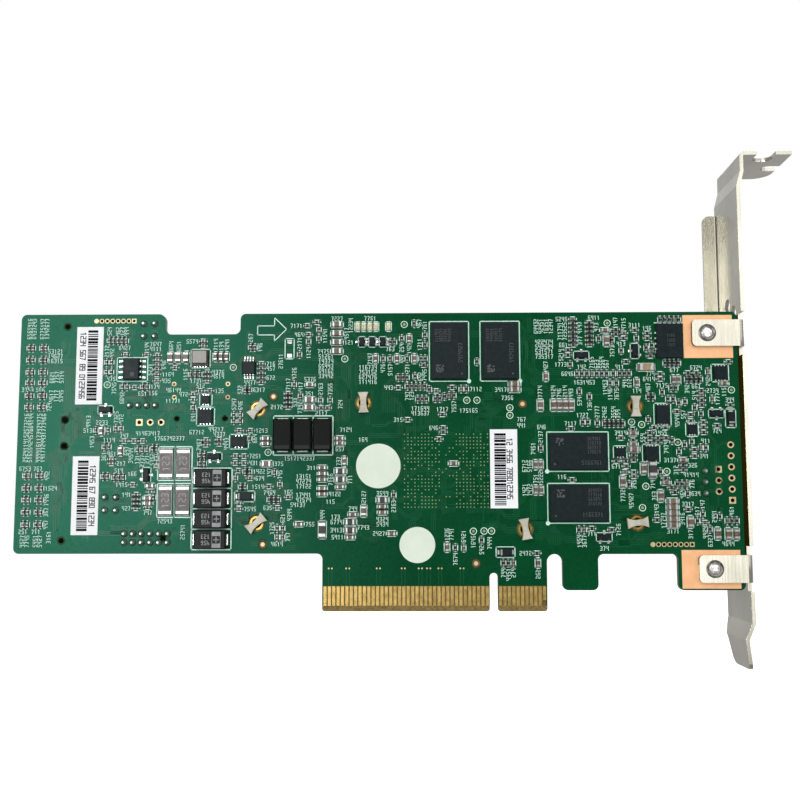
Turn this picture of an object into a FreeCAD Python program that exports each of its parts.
import FreeCAD, Part
import math
import os

# RAID controller card: a half-length PCI Express x8 board with its full-height steel bracket,
# one large pinned heatsink and two internal cable receptacles.
#
# Frame: the origin is on the centre line of the key notch in the contact edge, at the bottom of
# the contacts, on the solder face of the board. X runs along the board to the bracket, Z up from
# the contact edge, and Y from the solder face (Y = 0) through the board to the component side.
# All sizes are in millimetres.

Vector = FreeCAD.Vector

# ---------------------------------------------------------------- driving sizes: board outline
board_thickness = 1.57
board_length = 167.65
# The places of the parts are given for a tail edge at the first X. On a board of another length
# they spread evenly from the second X to the tail, and past that X they keep their place.
layout_span = (-110.5, 36.0)
board_right = 57.15             # from the key notch to the bracket end
board_top = 68.9                # from the bottom of the contacts to the top edge
board_underside = 13.05         # bottom edge along the card's tail
corner_radius = 1.3

key_width = 1.9
key_height = 8.65
contact_edge_left = 39.15       # from the key notch to the end of the long contact row
contact_edge_right = 12.15      # from the key notch to the end of the short contact row
contact_corner = 0.6
bevel_height = 1.3
bevel_depth = 0.42

hook_slot_width = 3.55          # slot between the contact edge and the retention tab
tab_width = 8.1                 # retention tab that the slot's latch catches
tab_bottom = 4.75
foot_left = 42.0                # foot that carries the lower bracket tab
foot_gap_height = 12.9

notch_left = -76.35             # shallow clearance notch in the top edge
notch_width = 17.6
notch_depth = 4.85
notch_outer_radius = 1.7
notch_inner_radius = 1.4

# ---------------------------------------------------------------- driving sizes: copper
copper = 0.04                   # thickness of bare copper and of the gold contacts
contact_pitch = 1.0
contact_width = 0.7
contact_top = 5.65
contact_bottom = 1.3
first_contact = 1.5             # from the key notch to the nearest contact on either side
long_row_count = 38
short_row_count = 11
short_contact_lift = 1.3        # the outermost detect contact starts higher than the others

ground_pad_top = 68.1
ground_pad_height = 10.1
ground_pad_left = 44.6
ground_pad_right = 56.1
foot_pad_left = 42.8
foot_pad_bottom = 5.1
foot_pad_height = 8.7
pad_window = 3.6                # square window in a pad round the screw hole

# ---------------------------------------------------------------- driving sizes: bracket
sheet = 0.86
bracket_width = 18.42
bracket_height = 120.02
bracket_bottom = -12.8
bracket_gap = 0.85              # from the board's end to the bracket's inner face
bend_inner_radius = 0.4
joggle_length = 3.7             # height over which the sheet steps in or out
head_height = 4.82              # from the upper joggle to the screw tab
upper_joggle = 1.0              # the head steps outward by this much
tongue_height = 6.4             # from the tip to the lower joggle
tongue_joggle = 1.6             # the tongue steps inward by this much
tongue_lean = 0.7               # and its tip leans back out
tongue_narrow_width = 14.0
tongue_tip_width = 11.4
head_reach = 11.5               # screw tab, outward from the head's outer face
head_corner_radius = 4.5
screw_notch_width = 4.5
screw_notch_centre = 6.5        # from the bracket's outer face
screw_notch_depth = 5.3
align_slot_width = 3.6
align_slot_depth = 4.1
align_slot_centre = 10.3        # from the bracket's near edge
flange_depth = 3.3              # stiffening flange along the far edge, inside face to free edge
flange_clearance = 2.2          # from the flange's top to the upper joggle
flange_bottom = 9.0
flange_corner_radius = 1.6
board_tab_reach = 12.3          # from the bracket's outer face
board_tab_width = 6.2
board_tab_corner = 1.0
upper_tab_z = 63.8
lower_tab_z = 9.55
relief_height = 2.0
fold_strip = 2.3                # of the long face, on either side of a fold's relief cuts
bracket_screw_inset = 8.8       # screw axis, from the bracket's outer face
vent_hole = 3.6                 # across the flats of each hexagonal vent hole
vent_pitch_y = 4.5
vent_pitch_z = 5.0
vent_columns = 3
vent_rows = 11
vent_top = 71.8                 # centre of the highest hole in the middle column
vent_first_column = 5.7         # from the bracket's near edge

# ---------------------------------------------------------------- driving sizes: fasteners
screw_diameter = 2.9
screw_clearance = 0.15          # on the radius, where the screw passes the board
screw_head_diameter = 5.6
screw_head_height = 2.1
screw_end_proud = 0.35
screw_recess_width = 0.8
screw_recess_span = 3.2
screw_recess_depth = 1.1

pin_shank_length = 2.4          # the shank is a flat leg, as long as the barbs' waist
pin_shank_width = 1.5
pin_hole_diameter = 3.6
pin_head_diameter = 6.2
pin_head_height = 1.3
barb_length = 4.7
barb_end_width = 2.4
barb_waist_width = 1.5
barb_height = 1.5
spring_outer_diameter = 5.0
spring_wall = 0.6
spring_height = 4.6
small_round_sides = 12

# ---------------------------------------------------------------- driving sizes: heatsink
processor_size = 27.0
processor_x = -10.6
processor_z = 32.4
substrate_height = 1.2
lid_size = 21.0
lid_height = 1.1
thermal_pad_size = 20.0
thermal_pad_height = 0.4
heatsink_margin = 4.3           # past the outermost push pins at either end
heatsink_bottom = 15.6
heatsink_width = 35.6
heatsink_base = 2.2
heatsink_height = 10.8
fin_thickness = 0.9
fin_count = 14
heatsink_hole_diameter = 3.2
pin_pocket = 9.0                # square clearing in the fins round each push pin
pin_layout = (                  # x, z and turn of the barbs of each push pin
    (-54.4, 46.4, 45.0),
    (-54.4, 20.0, 40.0),
    (-29.8, 47.8, 92.0),
    (7.3, 18.6, 100.0),
    (33.1, 46.7, 90.0),
    (32.9, 20.0, 5.0),
)

# ---------------------------------------------------------------- driving sizes: cable receptacles
receptacle_width = 24.6
receptacle_depth = 13.6
receptacle_height = 8.4
receptacle_overhang = 0.6       # in front of the board's tail edge
receptacle_floor = 0.9
mouth_width = 20.4
mouth_height = 6.4
mouth_depth = 10.4
core_width = 17.0
core_height = 4.2
core_setback = 4.9              # from the mouth to the face of the slotted core
core_slot_width = 15.4
core_slot_height = 1.1
core_slot_depth = 4.0
cage_wall = 0.3
cage_window_width = 3.2
cage_window_length = 2.4
cage_window_spread = 5.6
upper_receptacle_drop = 13.9    # from the board's top edge to the receptacle's centre
lower_receptacle_z = 27.0
tail_count = 18
tail_pitch = 0.8
tail_width = 0.35
tail_length = 1.3
tail_height = 0.25

# ---------------------------------------------------------------- driving sizes: headers
header_pin = 0.5                # square section
header_pin_below = 1.1          # through the board, past the solder face
header_pin_above = 6.2
header_base_height = 2.0
header_margin = 1.15            # plastic past the outermost pin centres

# ---------------------------------------------------------------- driving sizes: mounted parts
# Each is length, width, height. Length is the long axis.
tiny_chip = (1.0, 0.5, 0.35)            # 0402
small_chip = (1.6, 0.8, 0.8)            # 0603
medium_chip = (2.0, 1.2, 1.1)           # 0805
large_chip = (3.2, 1.6, 1.3)            # 1206
resistor_chip = (6.3, 3.1, 0.6)         # 2512
tantalum_case = (7.3, 4.2, 2.9)
polymer_case = (7.3, 4.25, 2.8)
polymer_pitch = 4.6
led_chip = (1.9, 1.0, 0.7)
memory_case = (13.1, 8.1, 1.1)
flash_case = (8.0, 6.2, 0.8)
diode_case = (2.8, 1.6, 1.1)
choke_case = (10.0, 10.0, 4.0)
small_choke_case = (6.6, 6.6, 3.0)
transistor_case = (6.0, 5.0, 1.1)
crystal_case = (5.0, 3.2, 1.1)
eight_lead_case = (4.9, 3.9, 1.4)
eight_lead_pitch = 1.27
small_eight_lead_case = (3.0, 2.9, 0.9)
small_eight_lead_pitch = 0.65
three_lead_case = (2.9, 1.3, 1.0)
small_three_lead_case = (2.0, 1.2, 0.9)
small_diode_case = (3.2, 1.7, 1.1)
power_module_case = (3.9, 3.7, 1.6)
upper_label = (18.3, 6.25, 0.1)
lower_label = (18.15, 6.2, 0.1)
middle_label = (18.2, 6.3, 0.1)
lead_height = 0.5
lead_width = 0.38
lead_reach = 0.95               # of a gull-wing lead past the body
short_lead_height = 0.4
short_lead_width = 0.45
short_lead_reach = 0.6          # of a three-lead chip's lead past its body
terminal_height = 0.35
terminal_reach = 0.35           # tab of a diode or moulded capacitor past its body

os.makedirs("parts", exist_ok=True)

board_left = board_right - board_length
laid_out_left, steady_x = layout_span
component_face = board_thickness


# ================================================================ helpers
def box(x0, x1, y0, y1, z0, z1):
    """A box between its lowest and highest corners."""
    return Part.makeBox(x1 - x0, y1 - y0, z1 - z0, Vector(x0, y0, z0))


def rod(x, z, diameter, y0, y1):
    """A round bar across the board, from y0 to y1."""
    return Part.makeCylinder(diameter / 2, y1 - y0, Vector(x, y0, z), Vector(0, 1, 0))


def small_round(x, z, diameter, y0, y1):
    """A small round that repeats many times, kept light: its sides lie outside the circle."""
    corner = diameter / 2 / math.cos(math.pi / small_round_sides)
    points = []
    for side in range(small_round_sides):
        angle = 2 * math.pi * (side + 0.5) / small_round_sides
        points.append(Vector(x + corner * math.cos(angle), y0, z + corner * math.sin(angle)))
    face = Part.Face(Part.makePolygon(points + points[:1]))
    return face.extrude(Vector(0, y1 - y0, 0))


def rounded_wire(corners):
    """A closed wire through (point, radius) corners, with a tangent arc at each one."""
    edges = []
    starts, ends = [], []
    count = len(corners)
    for i, (point, radius) in enumerate(corners):
        before = (corners[i - 1][0] - point).normalize()
        after = (corners[(i + 1) % count][0] - point).normalize()
        half = before.getAngle(after) / 2
        reach = radius / math.tan(half)
        bisector = (before + after).normalize()
        start, end = point + before * reach, point + after * reach
        if radius > 0:
            centre = point + bisector * (radius / math.sin(half))
            edges.append(Part.Arc(start, centre - bisector * radius, end).toShape())
        starts.append(start)
        ends.append(end)
    for i in range(count):
        here, there = ends[i], starts[(i + 1) % count]
        if here.distanceToPoint(there) > 1e-6:
            edges.append(Part.LineSegment(here, there).toShape())
    return Part.Wire(Part.__sortEdges__(edges))


def outline_xz(corners, y=0.0):
    """A rounded outline in a plane across Y, from (x, z, radius) corners."""
    return rounded_wire([(Vector(x, y, z), radius) for x, z, radius in corners])


def outline_yz(corners, x=0.0):
    """A rounded outline in a plane across X, from (y, z, radius) corners."""
    return rounded_wire([(Vector(x, y, z), radius) for y, z, radius in corners])


def plate(wire, y0, y1):
    """The solid that a wire across Y encloses between y0 and y1."""
    face = Part.Face(wire)
    return face.extrude(Vector(0, y1 - y0, 0))


def edges_at(shape, wanted):
    """The edges whose middle point passes the test."""
    found = []
    for edge in shape.Edges:
        middle = edge.valueAt((edge.FirstParameter + edge.LastParameter) / 2)
        if wanted(middle, edge):
            found.append(edge)
    return found


def near(value, target, slack=0.01):
    return abs(value - target) < slack


def write(node, solids):
    """Save one node, as a single solid or as a group of separate solids."""
    group = solids if isinstance(solids, list) else [solids]
    shape = group[0] if len(group) == 1 else Part.makeCompound(group)
    shape.exportStep("parts/" + node + ".step")


def row(x, z, count, dx=0.0, dz=0.0):
    """Centres of equal parts in a line, the first at (x, z)."""
    return [(x + i * dx, z + i * dz) for i in range(count)]


def along(x):
    """Where a place of the layout comes on this board: the layout spreads evenly to the tail."""
    spread = (steady_x - board_left) / (steady_x - laid_out_left)
    return x if x > steady_x else steady_x - (steady_x - x) * spread


def settle(places):
    """Places of the layout, as they come on this board."""
    return [(along(x), z) for x, z in places]


def from_tail(places):
    """Places given from the layout's tail edge."""
    return [(laid_out_left + x, z) for x, z in places]


def from_top(places):
    """Places whose z is given down from the board's top edge."""
    return [(x, board_top - drop) for x, drop in places]


def from_bracket_end(places):
    """Places given back from the board's bracket end."""
    return [(board_right - x, z) for x, z in places]


def solder_block(x, z, size, upright=False, lift=0.0):
    """A part on the solder face: size is length, width, height, and upright turns it along Z."""
    length, width, height = size
    half_x, half_z = (width / 2, length / 2) if upright else (length / 2, width / 2)
    return box(x - half_x, x + half_x, -lift - height, -lift, z - half_z, z + half_z)


def component_block(x, z, size, upright=False, lift=0.0):
    """A part on the component face, as solder_block."""
    length, width, height = size
    half_x, half_z = (width / 2, length / 2) if upright else (length / 2, width / 2)
    base = component_face + lift
    return box(x - half_x, x + half_x, base, base + height, z - half_z, z + half_z)


def blocks(places, size, upright=False, make=solder_block):
    """Equal blocks at places of the layout."""
    return [make(along(x), z, size, upright) for x, z in places]


# ================================================================ where things stand
bracket_outer = board_right + bracket_gap + sheet
bracket_inner = bracket_outer - sheet
bracket_near = -copper - sheet
bracket_far = bracket_near + bracket_width
bracket_top = bracket_bottom + bracket_height
upper_joggle_top = bracket_top - head_height
upper_joggle_bottom = upper_joggle_top - joggle_length
tongue_joggle_bottom = bracket_bottom + tongue_height
tongue_joggle_top = tongue_joggle_bottom + joggle_length
flange_top = upper_joggle_bottom - flange_clearance
bracket_screws = [(bracket_outer - bracket_screw_inset, z) for z in (upper_tab_z, lower_tab_z)]

receptacle_centres = [board_top - upper_receptacle_drop, lower_receptacle_z]
receptacle_front = board_left - receptacle_overhang

# Headers: the pin nearest the tail and the foot, then the pitches of columns and lines
cable_header_x = along(laid_out_left + 25.6)
service_header_x = along(laid_out_left + 26.1)
upper_square_x = along(laid_out_left + 29.0)
lower_square_x = along(laid_out_left + 20.95)
cable_header_pins = row(cable_header_x, 15.65, 6, dx=2.0) + row(cable_header_x, 17.65, 6, dx=2.0)
service_header_pins = from_top(row(service_header_x, 21.6, 4, dx=2.0))
upper_square_pins = from_top(
    row(upper_square_x, 2.3, 2, dx=2.54) + row(upper_square_x, 5.3, 2, dx=2.54))
lower_square_pins = row(lower_square_x, 23.0, 2, dx=2.54) + row(lower_square_x, 26.0, 2, dx=2.54)
jumper_pins = from_bracket_end(row(8.4, 26.7, 3, dz=2.54))
header_groups = {
    "cable_header": cable_header_pins,
    "service_header": service_header_pins,
    "upper_square_header": upper_square_pins,
    "lower_square_header": lower_square_pins,
    "jumper_header": jumper_pins,
}

processor_centre = along(processor_x)
pin_places = [(along(x), z, turn) for x, z, turn in pin_layout]
heatsink_left = min(x for x, _, _ in pin_places) - heatsink_margin
heatsink_right = max(x for x, _, _ in pin_places) + heatsink_margin
# Chokes and power transistors stand halfway between the headers and the heatsink
choke_x = (service_header_pins[-1][0] + header_margin + heatsink_left) / 2
power_transistor_x = (cable_header_pins[-1][0] + header_margin + heatsink_left) / 2

pin_shoulder = component_face + substrate_height + lid_height + thermal_pad_height
heatsink_top = pin_shoulder + heatsink_base + heatsink_height


# ================================================================ board
def board_outline():
    notch_start = along(notch_left)
    notch_right = notch_start + notch_width
    notch_floor = board_top - notch_depth
    key = key_width / 2
    tab_left = contact_edge_right + hook_slot_width
    tab_right = tab_left + tab_width
    return outline_xz([
        (board_left, board_top, corner_radius),
        (notch_start, board_top, notch_outer_radius),
        (notch_start, notch_floor, notch_inner_radius),
        (notch_right, notch_floor, notch_inner_radius),
        (notch_right, board_top, corner_radius),
        (board_right, board_top, corner_radius),
        (board_right, tab_bottom, corner_radius),
        (foot_left, tab_bottom, corner_radius),
        (foot_left, foot_gap_height, corner_radius),
        (tab_right, foot_gap_height, corner_radius),
        (tab_right, tab_bottom, corner_radius),
        (tab_left, tab_bottom, corner_radius),
        (tab_left, foot_gap_height, hook_slot_width / 2),
        (contact_edge_right, foot_gap_height, hook_slot_width / 2),
        (contact_edge_right, 0, contact_corner),
        (key, 0, contact_corner),
        (key, key_height, key),
        (-key, key_height, key),
        (-key, 0, contact_corner),
        (-contact_edge_left, 0, contact_corner),
        (-contact_edge_left, board_underside, corner_radius),
        (board_left, board_underside, corner_radius),
    ])


def bevel_cutter(face_y, inward):
    """The wedge that bevels one side of the contact edge."""
    left, right = -contact_edge_left - 1, contact_edge_right + 1
    points = [
        Vector(left, face_y - inward, -1),
        Vector(left, face_y - inward, bevel_height),
        Vector(left, face_y, bevel_height),
        Vector(left, face_y + inward * bevel_depth, 0),
        Vector(left, face_y + inward * bevel_depth, -1),
    ]
    face = Part.Face(Part.makePolygon(points + points[:1]))
    return face.extrude(Vector(right - left, 0, 0))


def circuit_board():
    body = plate(board_outline(), 0, board_thickness)
    through = (-1, board_thickness + 1)
    cutters = [small_round(x, z, pin_hole_diameter, *through) for x, z, _ in pin_places]
    cutters += [rod(x, z, screw_diameter + 2 * screw_clearance, *through) for x, z in bracket_screws]
    half = header_pin / 2
    for pins in header_groups.values():
        cutters += [box(x - half, x + half, *through, z - half, z + half) for x, z in pins]
    cutters += [bevel_cutter(0, 1), bevel_cutter(board_thickness, -1)]
    return body.cut(cutters)


def contacts(y0, y1):
    """The plated contacts of one face, both rows."""
    half = contact_width / 2
    solids = []
    for side, count in ((-1, long_row_count), (1, short_row_count)):
        for i in range(count):
            x = side * (first_contact + i * contact_pitch)
            outermost = side > 0 and i == count - 1
            bottom = contact_bottom + (short_contact_lift if outermost else 0)
            solids.append(box(x - half, x + half, y0, y1, bottom, contact_top))
    return solids


def ground_pads():
    """Bare copper under the bracket tabs on the solder face and under the screw heads behind."""
    half = pad_window / 2
    pads = []
    for y in (-copper, board_thickness):
        upper = box(ground_pad_left, ground_pad_right, y, y + copper,
                    ground_pad_top - ground_pad_height, ground_pad_top)
        lower = box(foot_pad_left, ground_pad_right, y, y + copper,
                    foot_pad_bottom, foot_pad_bottom + foot_pad_height)
        for pad, (x, z) in zip((upper, lower), bracket_screws):
            pads.append(pad.cut(box(x - half, x + half, y - 1, y + 1, z - half, z + half)))
    return pads


# ================================================================ bracket
def sheet_section(points):
    """The closed section of a folded sheet, from the (x, z) corners of its outer face."""
    corners = [Vector(x, 0, z) for x, z in points]
    inner = []
    for i, corner in enumerate(corners):
        into = (corner - corners[i - 1]).normalize() if i else None
        out = (corners[i + 1] - corner).normalize() if i + 1 < len(corners) else None
        normals = [Vector(-d.z, 0, d.x) for d in (into, out) if d is not None]
        bisector = sum(normals, Vector(0, 0, 0)).normalize()
        inner.append(corner + bisector * (sheet / bisector.dot(normals[0])))
    loop = corners + inner[::-1]
    return Part.Face(Part.makePolygon(loop + loop[:1]))


def bracket_sheet():
    """The long face with its tongue, head and screw tab, still at full width everywhere."""
    tongue_outer = bracket_outer - tongue_joggle
    head_outer = bracket_outer + upper_joggle
    section = sheet_section([
        (tongue_outer + tongue_lean, bracket_bottom),
        (tongue_outer, tongue_joggle_bottom),
        (bracket_outer, tongue_joggle_top),
        (bracket_outer, upper_joggle_bottom),
        (head_outer, upper_joggle_top),
        (head_outer, bracket_top - sheet),
        (head_outer + head_reach, bracket_top - sheet),
    ])
    section.translate(Vector(0, bracket_near, 0))
    body = section.extrude(Vector(0, bracket_width, 0))
    outer_bend = edges_at(body, lambda p, e: near(p.x, head_outer - sheet) and near(p.z, bracket_top))
    inner_bend = edges_at(
        body, lambda p, e: near(p.x, head_outer) and near(p.z, bracket_top - sheet)
    )
    body = body.makeFillet(bend_inner_radius + sheet, outer_bend)
    inner_bend = edges_at(
        body, lambda p, e: near(p.x, head_outer) and near(p.z, bracket_top - sheet)
    )
    return body.makeFillet(bend_inner_radius, inner_bend)


def bracket_silhouette():
    """What the long face keeps, seen along X: straight above, narrowed and rounded at the tongue."""
    beyond = bracket_top + 5
    wire = outline_yz([
        (bracket_near, bracket_bottom, 1.2),
        (bracket_near, beyond, 0),
        (bracket_far, beyond, 0),
        (bracket_far, tongue_joggle_top, 2.0),
        (bracket_near + tongue_narrow_width, tongue_joggle_bottom - 0.6, 2.0),
        (bracket_near + tongue_tip_width, bracket_bottom, 3.2),
    ], bracket_inner - 10)
    return Part.Face(wire).extrude(Vector(40, 0, 0))


def screw_tab_cutters():
    """The open screw notch, the alignment slot and the rounded far corner of the screw tab."""
    low, high = bracket_top - 3, bracket_top + 3
    head_outer = bracket_outer + upper_joggle
    tab_end = head_outer + head_reach
    notch_x = bracket_outer + screw_notch_centre
    radius = screw_notch_width / 2
    notch_round = bracket_near + screw_notch_depth - radius
    cutters = [
        box(notch_x - radius, notch_x + radius, bracket_near - 1, notch_round, low, high),
        Part.makeCylinder(radius, high - low, Vector(notch_x, notch_round, low)),
    ]
    slot_y = bracket_near + align_slot_centre
    slot_round = tab_end - align_slot_depth + align_slot_width / 2
    cutters += [
        box(slot_round, tab_end + 1, slot_y - align_slot_width / 2, slot_y + align_slot_width / 2,
            low, high),
        Part.makeCylinder(align_slot_width / 2, high - low, Vector(slot_round, slot_y, low)),
    ]
    corner_x = tab_end - head_corner_radius
    corner_y = bracket_far - head_corner_radius
    corner = box(corner_x, tab_end + 1, corner_y, bracket_far + 1, low, high)
    cutters.append(corner.cut(
        Part.makeCylinder(head_corner_radius, high - low, Vector(corner_x, corner_y, low))
    ))
    return cutters


def folded_angle(edge_y, into, end_x, low, high):
    """A strip of the long face with a leg folded inward from it; into is +1 or -1 along Y."""
    strip = edge_y + into * fold_strip
    inner_y = edge_y + into * sheet
    section = rounded_wire([
        (Vector(end_x, edge_y, low), 0),
        (Vector(bracket_outer, edge_y, low), bend_inner_radius + sheet),
        (Vector(bracket_outer, strip, low), 0),
        (Vector(bracket_inner, strip, low), 0),
        (Vector(bracket_inner, inner_y, low), bend_inner_radius),
        (Vector(end_x, inner_y, low), 0),
    ])
    return Part.Face(section).extrude(Vector(0, 0, high - low))


def side_flange():
    """The stiffening flange, turned inward along the far edge."""
    free_edge = bracket_inner - flange_depth
    flange = folded_angle(bracket_far, -1, free_edge, flange_bottom, flange_top)
    corners = edges_at(flange, lambda p, e: near(p.x, free_edge) and near(p.y, bracket_far - sheet / 2))
    return flange.makeFillet(flange_corner_radius, corners)


def board_tab(z):
    """A tab turned inward from the near edge, to lie on the board's solder face."""
    end = bracket_outer - board_tab_reach
    half = board_tab_width / 2
    tab = folded_angle(bracket_near, 1, end, z - half, z + half)
    corners = edges_at(tab, lambda p, e: near(p.x, end) and near(p.y, bracket_near + sheet / 2))
    return tab.makeFillet(board_tab_corner, corners)


def fold_cutters():
    """Clears the long face where folded strips replace it, with relief beside the board tabs."""
    across = (bracket_inner - 1, bracket_outer + 1)
    half = board_tab_width / 2 + relief_height
    cutters = [box(*across, bracket_far - fold_strip, bracket_far + 1, flange_bottom, flange_top)]
    for z in (upper_tab_z, lower_tab_z):
        cutters.append(box(*across, bracket_near - 1, bracket_near + fold_strip, z - half, z + half))
    return cutters


def vent_holes():
    """A staggered field of hexagonal holes."""
    corner = vent_hole / math.sqrt(3)
    cutters = []
    for column in range(vent_columns):
        y = bracket_near + vent_first_column + column * vent_pitch_y
        staggered = column % 2 == 0
        top = vent_top - (vent_pitch_z / 2 if staggered else 0)
        for line in range(vent_rows):
            z = top - line * vent_pitch_z
            points = []
            for side in range(6):
                angle = math.radians(60 * side)
                points.append(Vector(bracket_inner - 1, y + corner * math.cos(angle),
                                     z + corner * math.sin(angle)))
            face = Part.Face(Part.makePolygon(points + points[:1]))
            cutters.append(face.extrude(Vector(sheet + 2, 0, 0)))
    return cutters


def bracket():
    body = bracket_sheet().common(bracket_silhouette())
    body = body.cut(screw_tab_cutters() + vent_holes() + fold_cutters())
    folds = [side_flange(), board_tab(upper_tab_z), board_tab(lower_tab_z)]
    body = body.fuse(folds).removeSplitter()
    through = (bracket_near - 1, bracket_near + sheet + 1)
    return body.cut([rod(x, z, screw_diameter, *through) for x, z in bracket_screws])


def bracket_screw(x, z):
    """A pan-head machine screw with a cross recess, driven from the component side."""
    seat = board_thickness + copper
    shank = rod(x, z, screw_diameter, bracket_near - screw_end_proud, seat)
    head = rod(x, z, screw_head_diameter, seat, seat + screw_head_height)
    top = seat + screw_head_height
    half, span = screw_recess_width / 2, screw_recess_span / 2
    floor = top - screw_recess_depth
    recess = [
        box(x - half, x + half, floor, top + 1, z - span, z + span),
        box(x - span, x + span, floor, top + 1, z - half, z + half),
    ]
    return shank.fuse(head).cut(recess).removeSplitter()


# ================================================================ heatsink
def heatsink():
    """An extruded aluminium comb, cleared round each push pin."""
    low, high = heatsink_bottom, heatsink_bottom + heatsink_width
    body = box(heatsink_left, heatsink_right, pin_shoulder, pin_shoulder + heatsink_base, low, high)
    step = (heatsink_width - fin_thickness) / (fin_count - 1)
    root = pin_shoulder + heatsink_base
    fins = [
        box(heatsink_left, heatsink_right, root, heatsink_top,
            low + i * step, low + i * step + fin_thickness)
        for i in range(fin_count)
    ]
    body = body.fuse(fins).removeSplitter()
    cutters = []
    for x, z, _ in pin_places:
        half = pin_pocket / 2
        cutters.append(box(x - half, x + half, root, heatsink_top + 1, z - half, z + half))
        cutters.append(small_round(x, z, heatsink_hole_diameter, pin_shoulder - 1, root + 1))
    return body.cut(cutters)


def push_pin(x, z, turn):
    """A push pin: round head, flat shank and the flared barbs that grip behind the board."""
    spring_seat = pin_shoulder + heatsink_base
    head_seat = spring_seat + spring_height
    shank = box(x - pin_shank_length / 2, x + pin_shank_length / 2, 0, head_seat,
                z - pin_shank_width / 2, z + pin_shank_width / 2)
    shank.rotate(Vector(x, 0, z), Vector(0, 1, 0), -turn)
    head = small_round(x, z, pin_head_diameter, head_seat, head_seat + pin_head_height)
    reach, end, waist = barb_length / 2, barb_end_width / 2, barb_waist_width / 2
    points = [
        Vector(x - reach, 0, z - end), Vector(x, 0, z - waist), Vector(x + reach, 0, z - end),
        Vector(x + reach, 0, z + end), Vector(x, 0, z + waist), Vector(x - reach, 0, z + end),
    ]
    barbs = Part.Face(Part.makePolygon(points + points[:1])).extrude(Vector(0, -barb_height, 0))
    barbs.rotate(Vector(x, 0, z), Vector(0, 1, 0), -turn)
    return barbs.fuse([shank, head]).removeSplitter()


def pin_spring(x, z):
    """The space of the coil spring under a push pin's head."""
    seat = pin_shoulder + heatsink_base
    outside = small_round(x, z, spring_outer_diameter, seat, seat + spring_height)
    bore = spring_outer_diameter - 2 * spring_wall
    return outside.cut(small_round(x, z, bore, seat - 1, seat + spring_height + 1))


# ================================================================ cable receptacles
def receptacle_housing(centre):
    """A right-angle receptacle: moulded shell and slotted core."""
    half = receptacle_width / 2
    back = receptacle_front + receptacle_depth
    base = component_face
    body = box(receptacle_front, back, base, base + receptacle_height, centre - half, centre + half)
    mouth_base = base + receptacle_floor
    mouth = box(receptacle_front - 1, receptacle_front + mouth_depth, mouth_base,
                mouth_base + mouth_height, centre - mouth_width / 2, centre + mouth_width / 2)
    core_face = receptacle_front + core_setback
    core_base = mouth_base + (mouth_height - core_height) / 2
    core = box(core_face, back, core_base, core_base + core_height,
               centre - core_width / 2, centre + core_width / 2)
    slot_base = mouth_base + (mouth_height - core_slot_height) / 2
    slot = box(core_face - 1, core_face + core_slot_depth, slot_base, slot_base + core_slot_height,
               centre - core_slot_width / 2, centre + core_slot_width / 2)
    return body.cut(mouth).fuse(core).cut(slot)


def receptacle_cage(centre):
    """The stamped steel cover over a receptacle, with its two latch windows."""
    half = receptacle_width / 2
    back = receptacle_front + receptacle_depth
    top = component_face + receptacle_height
    outside = box(receptacle_front, back, component_face, top + cage_wall,
                  centre - half - cage_wall, centre + half + cage_wall)
    inside = box(receptacle_front - 1, back + 1, component_face - 1, top,
                 centre - half, centre + half)
    window_x = receptacle_front + 2.2
    windows = [
        box(window_x, window_x + cage_window_length, top - 1, top + cage_wall + 1,
            centre + side * cage_window_spread - cage_window_width / 2,
            centre + side * cage_window_spread + cage_window_width / 2)
        for side in (-1, 1)
    ]
    return outside.cut([inside] + windows)


def receptacle_contacts(centre):
    """The contact tails that are soldered down behind a receptacle."""
    back = receptacle_front + receptacle_depth
    first = centre - (tail_count - 1) * tail_pitch / 2
    half = tail_width / 2
    return [
        box(back, back + tail_length, component_face, component_face + tail_height,
            first + i * tail_pitch - half, first + i * tail_pitch + half)
        for i in range(tail_count)
    ]


# ================================================================ headers
def header_base(pins):
    """The moulded strip that holds a header's pins."""
    xs, zs = [x for x, _ in pins], [z for _, z in pins]
    strip = box(min(xs) - header_margin, max(xs) + header_margin,
                component_face, component_face + header_base_height,
                min(zs) - header_margin, max(zs) + header_margin)
    half = header_pin / 2
    return strip.cut([
        box(x - half, x + half, component_face - 1, component_face + header_base_height + 1,
            z - half, z + half)
        for x, z in pins
    ])


def header_pins():
    half = header_pin / 2
    solids = []
    for pins in header_groups.values():
        solids += [
            box(x - half, x + half, -header_pin_below, component_face + header_pin_above,
                z - half, z + half)
            for x, z in pins
        ]
    return solids


# ================================================================ leaded and moulded parts
def gull_wing_chip(x, z, body, leads, pitch, upright, make=solder_block):
    """A chip with bent leads on two opposite sides; upright puts the leads above and below."""
    length, width, height = body
    solids = make(x, z, (width, length, height) if not upright else body, lift=0.1)
    feet = []
    half_span = (leads - 1) * pitch / 2
    for i in range(leads):
        offset = -half_span + i * pitch
        for side in (-1, 1):
            away = side * (width / 2 + lead_reach / 2)
            foot = (lead_width, lead_reach) if upright else (lead_reach, lead_width)
            place = (x + offset, z + away) if upright else (x + away, z + offset)
            feet.append(make(*place, (*foot, lead_height)))
    return solids.fuse(feet)


def three_lead_chip(x, z, facing, body=three_lead_case, spread=1.9):
    """A small transistor; facing is where its single lead points: up, down, left or right."""
    length, width, _ = body
    turned = facing in ("left", "right")
    sign = 1 if facing in ("up", "right") else -1
    solid = solder_block(x, z, body, upright=turned, lift=0.05)
    feet = []
    for shift, side in ((0, sign), (-spread / 2, -sign), (spread / 2, -sign)):
        away = side * (width / 2 + short_lead_reach / 2)
        place = (x + away, z + shift) if turned else (x + shift, z + away)
        foot = (short_lead_reach, short_lead_width) if turned else (short_lead_width, short_lead_reach)
        feet.append(solder_block(*place, (*foot, short_lead_height)))
    return solid.fuse(feet)


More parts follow.
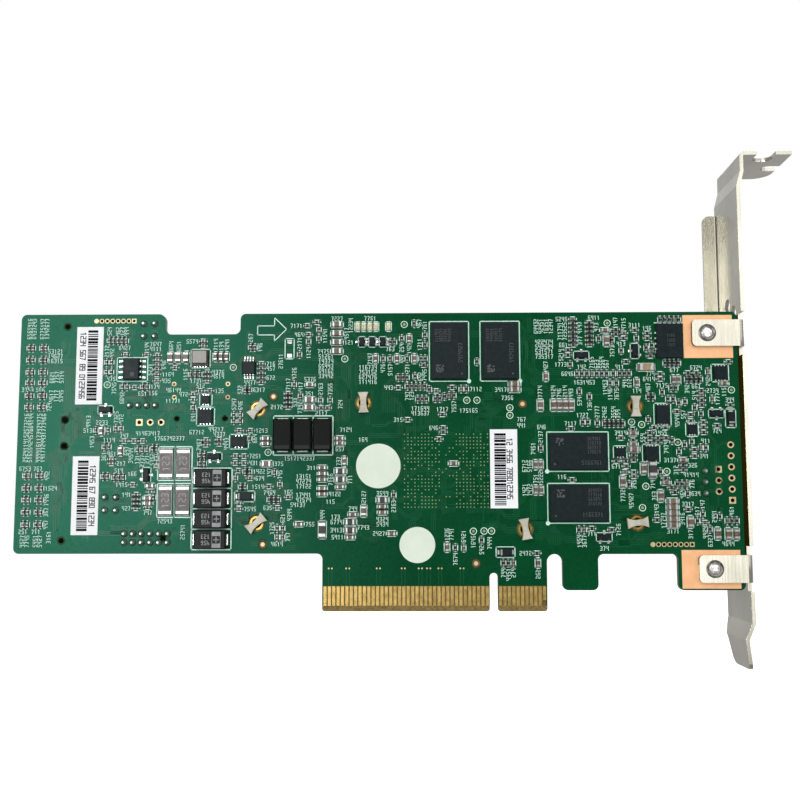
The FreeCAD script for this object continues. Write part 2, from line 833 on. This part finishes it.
def end_terminal_part(x, z, body, upright=False, make=solder_block):
    """A moulded two-terminal part: its body stands on flat end tabs that reach past it."""
    length, width, height = body
    tab_width = width * 0.6
    solid = make(x, z, body, upright, lift=0.05)
    strip = (length + 2 * terminal_reach, tab_width, terminal_height)
    return solid.fuse(make(x, z, strip, upright))


# ================================================================ placements, solder face
# Arrays of 0402 parts, lying along X and standing along Z
tiny_across = from_tail(from_top(row(32.3, 9.8, 5, dz=1.12)) + row(28.15, 23.45, 4, dz=1.05))
tiny_across += from_top(
    row(-53.75, 11.9, 5, dz=1.09) + row(-47.4, 18.9, 4, dz=1.05)
    + row(19.05, 1.6, 7, dz=1.02) + row(22.9, 2.5, 6, dz=1.03)
)
tiny_across += from_bracket_end(from_top(row(8.7, 18.55, 4, dz=1.12)))

tail_quads = from_top([
    place for drop in (8.0, 10.8, 13.7, 16.2, 19.2, 21.9)
    for place in row(2.0, drop, 2, dx=1.0) + row(5.0, drop, 2, dx=1.0)
])
tail_quads += [
    place for z in (31.0, 28.1, 25.4, 22.6, 19.7)
    for place in row(2.1, z, 2, dx=1.0) + row(5.1, z, 2, dx=1.0)
]
tiny_upright = from_tail(tail_quads + from_top(row(20.9, 6.3, 5, dx=1.0)))
tiny_upright += from_top(
    row(-19.6, 17.3, 5, dx=1.0) + row(19.8, 14.5, 7, dx=1.15) + row(29.7, 14.5, 3, dx=1.1)
    + row(39.4, 1.9, 5, dx=1.08) + row(40.3, 12.1, 4, dx=1.03)
)
tiny_upright += from_bracket_end(from_top(row(11.95, 15.9, 4, dx=-1.05)))
tiny_upright += row(26.0, 42.75, 5, dx=1.03)

small_across = from_tail([(31.4, 28.6), (30.9, 25.8), (30.9, 24.6)])
small_across += from_top([(-42.3, 16.9), (26.5, 4.3)])
small_across += from_bracket_end(from_top([(3.45, 16.9)]))
small_across += (
    row(-52.5, 38.3, 2, dz=1.2) + row(-35.25, 38.35, 2, dz=1.15) + row(-39.3, 30.0, 3, dz=1.35)
    + row(-39.3, 26.65, 2, dz=1.3) + row(-25.4, 22.45, 2, dz=1.3) + [(-9.0, 33.6), (-35.1, 28.3)]
    + [(-32.8, 16.8), (-32.2, 21.95), (-23.3, 17.6), (-44.6, 19.75), (32.4, 40.5), (32.4, 37.95)]
    + [(43.7, 34.3), (39.7, 29.1)]
)
small_upright = from_tail([(19.7, 41.4), (24.3, 36.7)])
small_upright += from_top(
    row(-64.5, 10.2, 3, dx=1.32) + [(-27.0, 10.8), (-22.0, 10.8), (-17.95, 10.8), (-19.15, 6.1)]
    + [(12.6, 15.1), (33.6, 16.6)] + row(42.1, 16.0, 2, dx=1.1)
)
small_upright += (
    [(-34.2, 34.2), (-10.6, 14.5), (10.1, 10.9)] + row(9.9, 33.3, 2, dx=1.15)
    + row(9.85, 27.5, 2, dx=1.2)
)

medium_across = from_top(
    row(-42.4, 20.4, 2, dz=1.8) + row(-36.05, 2.7, 4, dz=2.1) + row(5.3, 16.85, 2, dz=1.3)
)
medium_across += [(-52.2, 33.65), (32.5, 36.75)] + row(41.05, 19.5, 5, dz=1.35)
medium_upright = from_top(
    row(-75.0, 10.3, 3, dx=1.83) + [(26.8, 6.7), (11.2, 21.8)] + row(14.25, 21.8, 4, dx=1.36)
)
medium_upright += [(-29.7, 22.8), (29.8, 29.35), (34.65, 32.4), (38.4, 26.1)]
medium_upright += from_bracket_end([(12.15, 20.15), (6.05, 17.5), (3.65, 17.4), (1.85, 17.4)])
bead_across = row(-35.1, 30.0, 2, dz=1.9) + [(-25.4, 25.3)] + row(-32.8, 18.4, 2, dz=1.85)
large_across = from_top([(35.8, 13.05)])
large_upright = [(36.7, 32.2), (-39.2, 18.5)]

tantalums = row(-64.65, 16.3, 4, dz=4.68)
polymers = row(along(-43.8) - polymer_pitch, 40.2, 3, dx=polymer_pitch)
resistors = row(-75.5, 33.75, 2, dx=4.0) + row(-75.5, 25.25, 2, dx=4.0)
leds = from_top(row(-31.2, 3.2, 4, dx=1.42) + [(-24.0, 3.2)])
upright_memories = from_top([(-9.85, 9.1), (2.0, 9.1)])
flat_memories = [(19.65, 36.3), (19.65, 24.45)]

# Three-lead chips: x, z and where the single lead points
three_lead_chips = [
    (laid_out_left + 20.5, board_top - 22.6, "up"),
    (laid_out_left + 30.45, 31.1, "right"),
    (-64.4, 35.35, "up"),
    (20.9, board_top - 10.2, "up"),
    (33.3, board_top - 9.2, "left"),
    (board_right - 5.4, 45.0, "down"),
    (25.3, 16.75, "up"),
]
small_three_lead_chips = from_top([(-30.2, 6.8), (-27.8, 6.8), (-25.3, 6.8)])

# Leadless chips: x, z and length, width, height, all lying along X
leadless_chips = [
    (-66.6, board_top - 24.2, (3.2, 3.3, 0.8)),
    (-66.6, board_top - 20.3, (1.9, 2.0, 0.6)),
    (-58.7, 38.8, (3.4, 2.4, 0.8)),
    (29.4, 36.1, (2.1, 2.0, 0.6)),
    (36.5, 35.8, (3.0, 3.3, 0.8)),
    (39.35, 44.8, (2.9, 4.3, 0.8)),
    (board_right - 4.25, board_top - 14.45, (3.0, 3.1, 0.8)),
    (board_right - 11.1, 41.35, (1.9, 2.2, 0.6)),
]

# ================================================================ placements, component face
upright_memories_behind = from_top([(-9.85, 9.1), (2.0, 9.1), (13.85, 9.1)])
flat_memories_behind = flat_memories
choke_z = 51.2
small_chokes_z = (38.6, 30.6)
crystal_place = (45.2, 50.2)
service_chip_place = (43.9, 36.0)
power_transistors = [(power_transistor_x, 23.8), (power_transistor_x, 17.6)]
power_transistors += settle(from_top([(-52.2, 12.6), (-44.6, 12.6)]))
small_behind = row(-38.0, 58.6, 8, dx=2.6) + row(22.6, 60.2, 5, dx=2.8) + row(39.9, 22.4, 6, dz=3.0)


# ================================================================ nodes
def main():
    write("circuit_board", circuit_board())
    write("edge_contacts_solder_side", contacts(-copper, 0))
    write("edge_contacts_component_side", contacts(board_thickness, board_thickness + copper))
    write("ground_pads", ground_pads())

    write("bracket", bracket())
    write("bracket_screws", [bracket_screw(x, z) for x, z in bracket_screws])

    write("processor_substrate", component_block(
        processor_centre, processor_z, (processor_size, processor_size, substrate_height)))
    write("processor_lid", component_block(
        processor_centre, processor_z, (lid_size, lid_size, lid_height), lift=substrate_height))
    write("thermal_pad", component_block(
        processor_centre, processor_z, (thermal_pad_size, thermal_pad_size, thermal_pad_height),
        lift=substrate_height + lid_height))
    write("heatsink", heatsink())
    write("push_pins", [push_pin(x, z, turn) for x, z, turn in pin_places])
    write("push_pin_springs", [pin_spring(x, z) for x, z, _ in pin_places])

    for name, centre in zip(("upper", "lower"), receptacle_centres):
        write(name + "_receptacle_housing", receptacle_housing(centre))
        write(name + "_receptacle_cage", receptacle_cage(centre))
        write(name + "_receptacle_contacts", receptacle_contacts(centre))

    for name, pins in header_groups.items():
        write(name + "_base", header_base(pins))
    write("header_pins", header_pins())

    write("memory_chips_solder_side",
          blocks(upright_memories, memory_case, upright=True) + blocks(flat_memories, memory_case))
    write("memory_chips_component_side",
          blocks(upright_memories_behind, memory_case, upright=True, make=component_block)
          + blocks(flat_memories_behind, memory_case, make=component_block))
    write("flash_chip", blocks(from_top([(41.4, 6.9)]), flash_case, upright=True))
    eight_lead_x, eight_lead_z = settle(from_tail(from_top([(26.5, 13.1)])))[0]
    write("eight_lead_chip",
          gull_wing_chip(eight_lead_x, eight_lead_z, eight_lead_case, 4, eight_lead_pitch, upright=False))
    small_lead_x, small_lead_z = settle(from_top([(-56.6, 12.85)]))[0]
    write("small_eight_lead_chip",
          gull_wing_chip(small_lead_x, small_lead_z, small_eight_lead_case, 4,
                         small_eight_lead_pitch, upright=True))
    write("power_module", blocks(from_top([(-68.0, 10.6)]), power_module_case))
    write("leadless_chips", [solder_block(along(x), z, size) for x, z, size in leadless_chips])
    write("transistors", [
        three_lead_chip(along(x), z, facing) for x, z, facing in three_lead_chips
    ])
    write("small_transistors", [
        three_lead_chip(x, z, "left", small_three_lead_case, spread=1.3)
        for x, z in settle(small_three_lead_chips)
    ])

    write("tantalum_capacitors", [end_terminal_part(x, z, tantalum_case) for x, z in settle(tantalums)])
    write("polymer_capacitors",
          [end_terminal_part(x, z, polymer_case, upright=True) for x, z in polymers])
    write("power_resistors", blocks(resistors, resistor_chip, upright=True))
    write("diodes", [
        end_terminal_part(along(-57.2), 26.15, small_diode_case),
        end_terminal_part(along(2.75), 13.35, diode_case),
        end_terminal_part(board_right - 2.15, 43.9, diode_case, upright=True),
    ])
    write("status_leds", blocks(leds, led_chip, upright=True))
    write("chip_capacitors_large",
          blocks(medium_across, medium_chip) + blocks(medium_upright, medium_chip, upright=True)
          + blocks(large_across, large_chip) + blocks(large_upright, large_chip, upright=True))
    write("ferrite_beads", blocks(bead_across, medium_chip))
    write("chip_capacitors_small",
          blocks(small_across, small_chip) + blocks(small_upright, small_chip, upright=True))
    write("chip_parts_tiny",
          blocks(tiny_across, tiny_chip) + blocks(tiny_upright, tiny_chip, upright=True))

    write("power_choke", component_block(choke_x, choke_z, choke_case))
    write("small_power_chokes",
          [component_block(choke_x, z, small_choke_case) for z in small_chokes_z])
    write("power_transistors", [component_block(x, z, transistor_case) for x, z in power_transistors])
    write("crystal", component_block(*crystal_place, crystal_case))
    write("service_chip", gull_wing_chip(*service_chip_place, eight_lead_case, 4, eight_lead_pitch,
                                         upright=True, make=component_block))
    write("chip_parts_behind_small",
          blocks(small_behind, small_chip, upright=True, make=component_block))

    write("upper_tail_label", blocks(from_tail(from_top([(16.4, 12.15)])), upper_label, upright=True))
    write("lower_tail_label", blocks(from_tail([(16.3, 26.4)]), lower_label, upright=True))
    write("middle_label", blocks([(2.6, 32.4)], middle_label, upright=True))


main()
